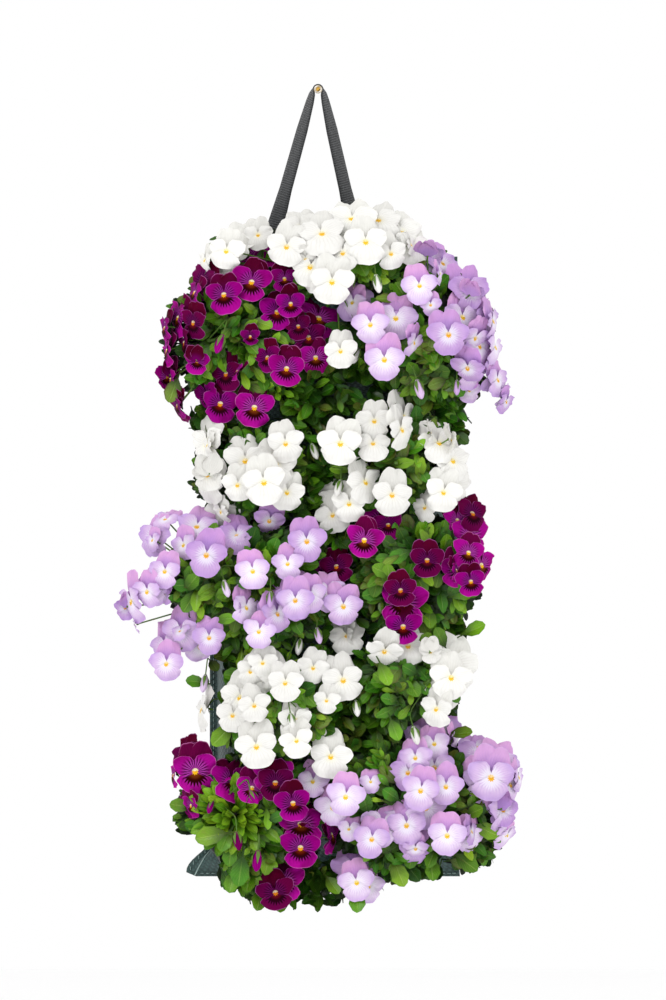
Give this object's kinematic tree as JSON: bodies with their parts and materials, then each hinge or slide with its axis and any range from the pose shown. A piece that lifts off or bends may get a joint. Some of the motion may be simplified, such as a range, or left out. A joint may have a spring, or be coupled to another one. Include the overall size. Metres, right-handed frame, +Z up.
{
  "type": "hanging pansy pouch",
  "caption": "Woven hanging pouch on a webbing strap and wall nail, planted through its mouth and side slits with pansies in full bloom.",
  "frame": {"origin": "middle of the nail where the strap hangs on it", "axes": "+X to the viewer's right, +Y into the wall, +Z up"},
  "size_m": [0.3278, 0.1239, 0.6614],
  "materials": {
    "pouch_cloth": "woven plastic cloth, faint sheen",
    "webbing": "ribbed webbing, matt",
    "nail_metal": "satin",
    "compost": "crumbly, matt",
    "foliage": "leaf, slight gloss",
    "magenta_petals": "velvety petal",
    "white_petals": "soft petal",
    "lavender_petals": "soft petal"
  },
  "bodies": {
    "root": {"pouch_front_sheet": "pouch_cloth", "pouch_back_sheet": "pouch_cloth", "compost": "compost", "hanging_strap": "webbing", "hanging_nail": "nail_metal", "top_left_leaves": "foliage", "top_left_blooms_1": "magenta_petals", "top_left_blooms_2": "magenta_petals", "top_left_blooms_3": "magenta_petals", "top_left_blooms_4": "magenta_petals", "top_middle_leaves": "foliage", "top_middle_blooms_1": "white_petals", "top_middle_blooms_2": "white_petals", "top_middle_blooms_3": "white_petals", "top_middle_blooms_4": "white_petals", "top_right_leaves": "foliage", "top_right_blooms_1": "lavender_petals", "top_right_blooms_2": "lavender_petals", "top_right_blooms_3": "lavender_petals", "top_right_blooms_4": "lavender_petals", "first_left_leaves": "foliage", "first_left_blooms_1": "white_petals", "first_left_blooms_2": "white_petals", "first_right_leaves": "foliage", "first_right_blooms_1": "white_petals", "first_right_blooms_2": "white_petals", "first_right_blooms_3": "white_petals", "second_left_leaves": "foliage", "second_left_blooms_1": "lavender_petals", "second_left_blooms_2": "lavender_petals", "second_left_blooms_3": "lavender_petals", "second_left_blooms_4": "lavender_petals", "second_left_blooms_5": "lavender_petals", "second_right_leaves": "foliage", "second_right_blooms_1": "magenta_petals", "second_right_blooms_2": "magenta_petals", "second_right_blooms_3": "magenta_petals", "third_left_leaves": "foliage", "third_left_blooms_1": "white_petals", "third_left_blooms_2": "white_petals", "third_left_blooms_3": "white_petals", "third_right_leaves": "foliage", "third_right_blooms_1": "white_petals", "third_right_blooms_2": "white_petals", "low_left_leaves": "foliage", "low_left_blooms_1": "magenta_petals", "low_left_blooms_2": "magenta_petals", "low_left_blooms_3": "magenta_petals", "low_right_leaves": "foliage", "low_right_blooms_1": "lavender_petals", "low_right_blooms_2": "lavender_petals", "low_right_blooms_3": "lavender_petals", "low_right_blooms_4": "lavender_petals"}
  },
  "joints": []
}
